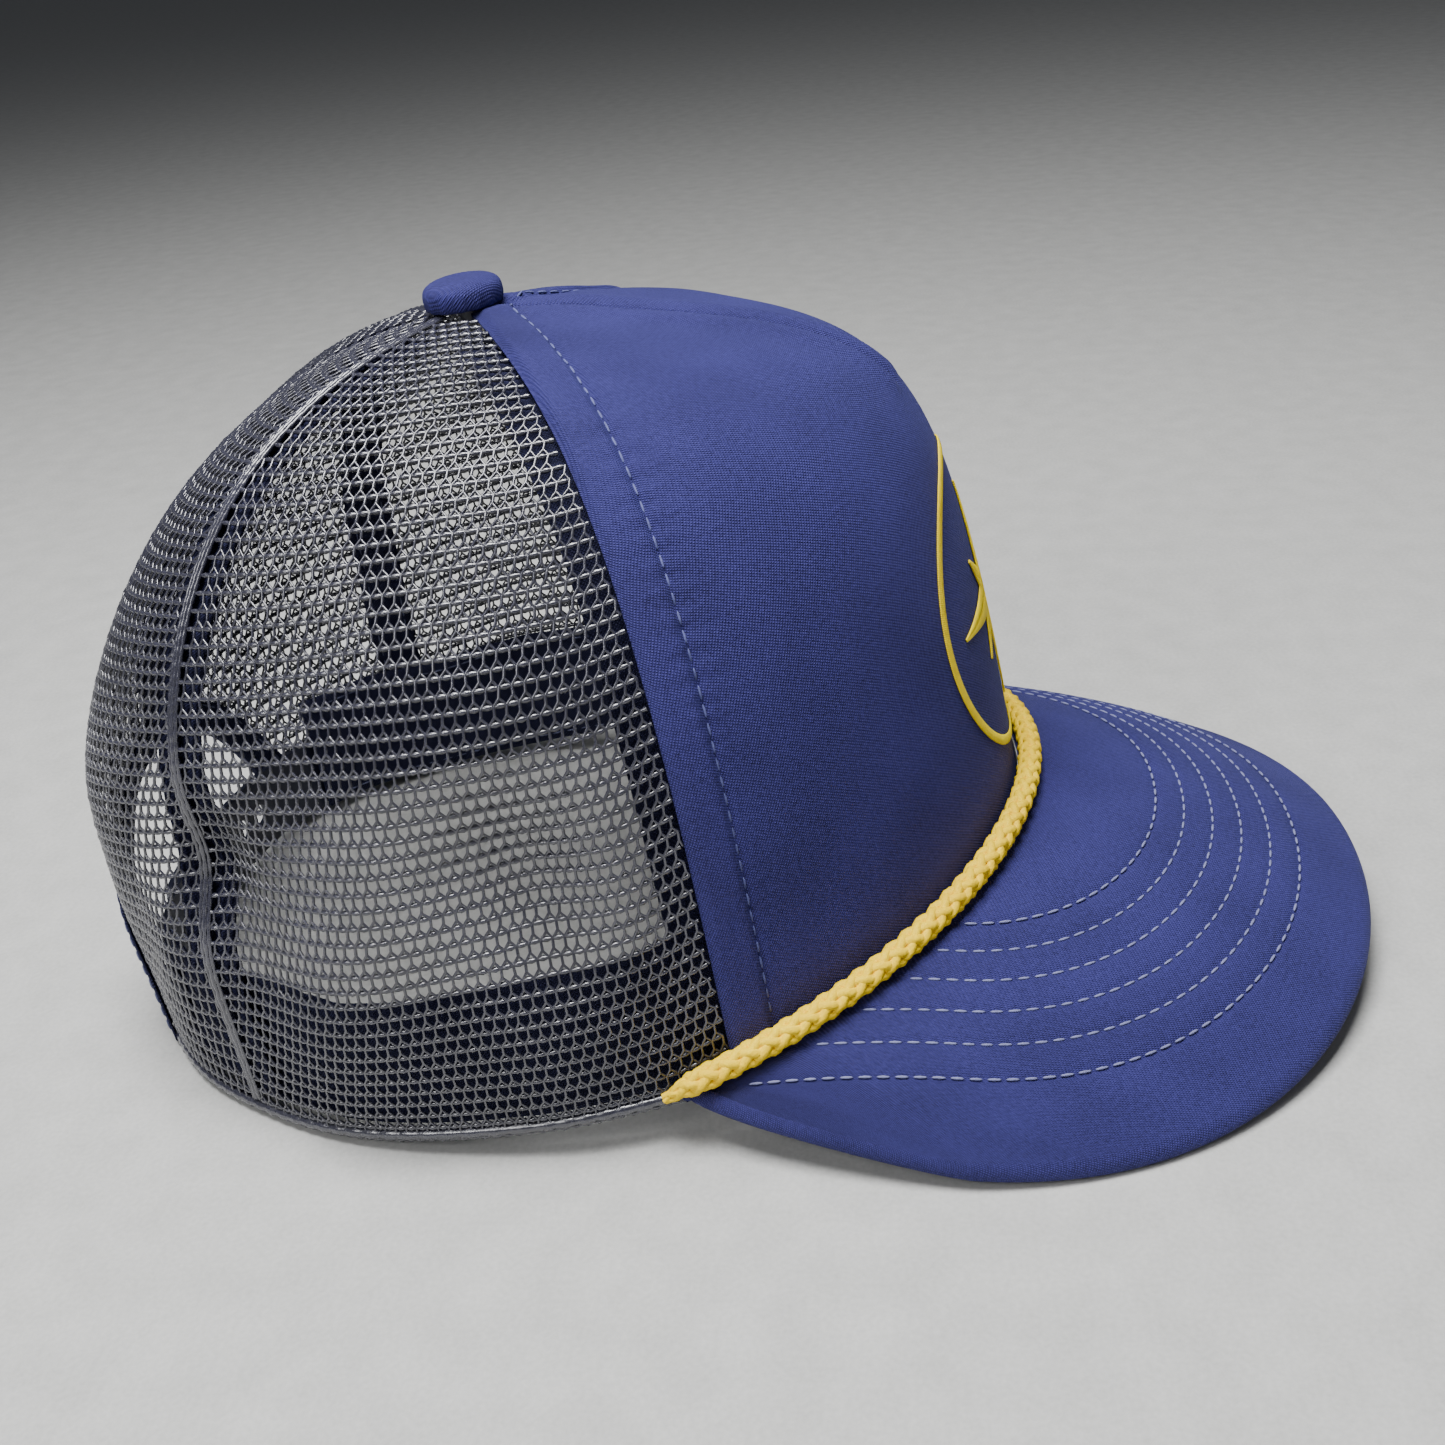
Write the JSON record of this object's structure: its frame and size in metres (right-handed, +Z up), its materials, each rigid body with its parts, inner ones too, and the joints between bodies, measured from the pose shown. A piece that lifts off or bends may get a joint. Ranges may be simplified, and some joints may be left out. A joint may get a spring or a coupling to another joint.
{
  "type": "trucker mesh cap",
  "caption": "Trucker cap with a foam-backed navy cloth front, mesh sides and back, curved stitched brim, rope trim and a snap closure.",
  "frame": {"origin": "on the resting surface under the middle of the cap's footprint", "axes": "-Y to the brim's front, +X to the wearer's left, +Z up; the cap lies as on a table, resting on the brim's side edges and the back hem"},
  "size_m": [0.192, 0.2724, 0.1504],
  "materials": {
    "navy_cloth": "matte",
    "navy_mesh": "satin",
    "navy_tape": "matte",
    "foam": "matte",
    "thread": "matte",
    "rope": "matte",
    "gold_thread": "satin",
    "sweatband_cloth": "matte",
    "snap_plastic": "satin",
    "board_plastic": "matte",
    "rivet_metal": "satin"
  },
  "bodies": {
    "cap": {"front_panel": "navy_cloth", "front_foam_lining": "foam", "side_mesh_left": "navy_mesh", "side_mesh_right": "navy_mesh", "back_mesh_left": "navy_mesh", "back_mesh_right": "navy_mesh", "front_seam_tape_left": "navy_tape", "front_seam_tape_right": "navy_tape", "rear_seam_tape_left": "navy_tape", "rear_seam_tape_right": "navy_tape", "back_seam_tape": "navy_tape", "dart_tape": "navy_tape", "sweatband": "sweatband_cloth", "back_arch_binding": "navy_tape", "brim_upper_cloth": "navy_cloth", "brim_board": "board_plastic", "brim_lower_cloth": "navy_cloth", "brim_stitching": "thread", "rope_braid": "rope", "emblem_ring": "gold_thread", "emblem_star": "gold_thread", "button_cover": "navy_cloth", "button_core": "board_plastic", "button_rivet": "rivet_metal", "peg_strap_root": "snap_plastic", "hole_strap_root": "snap_plastic"},
    "peg_strap": {"peg_strap": "snap_plastic"},
    "hole_strap": {"hole_strap": "snap_plastic"}
  },
  "joints": [
    {"name": "hole_strap_flex", "type": "hinge", "parent": "cap", "child": "hole_strap", "pos_m": [0.03566, 0.12615, 0.01162], "axis": [0, 0.0755, 0.9971], "range_deg": [-40, 0], "stiffness_Nm_per_rad": 0.004},
    {"name": "peg_strap_flex", "type": "hinge", "parent": "cap", "child": "peg_strap", "pos_m": [-0.03519, 0.12463, 0.01173], "axis": [0, 0.0755, 0.9971], "range_deg": [-30, 0], "stiffness_Nm_per_rad": 0.004}
  ]
}
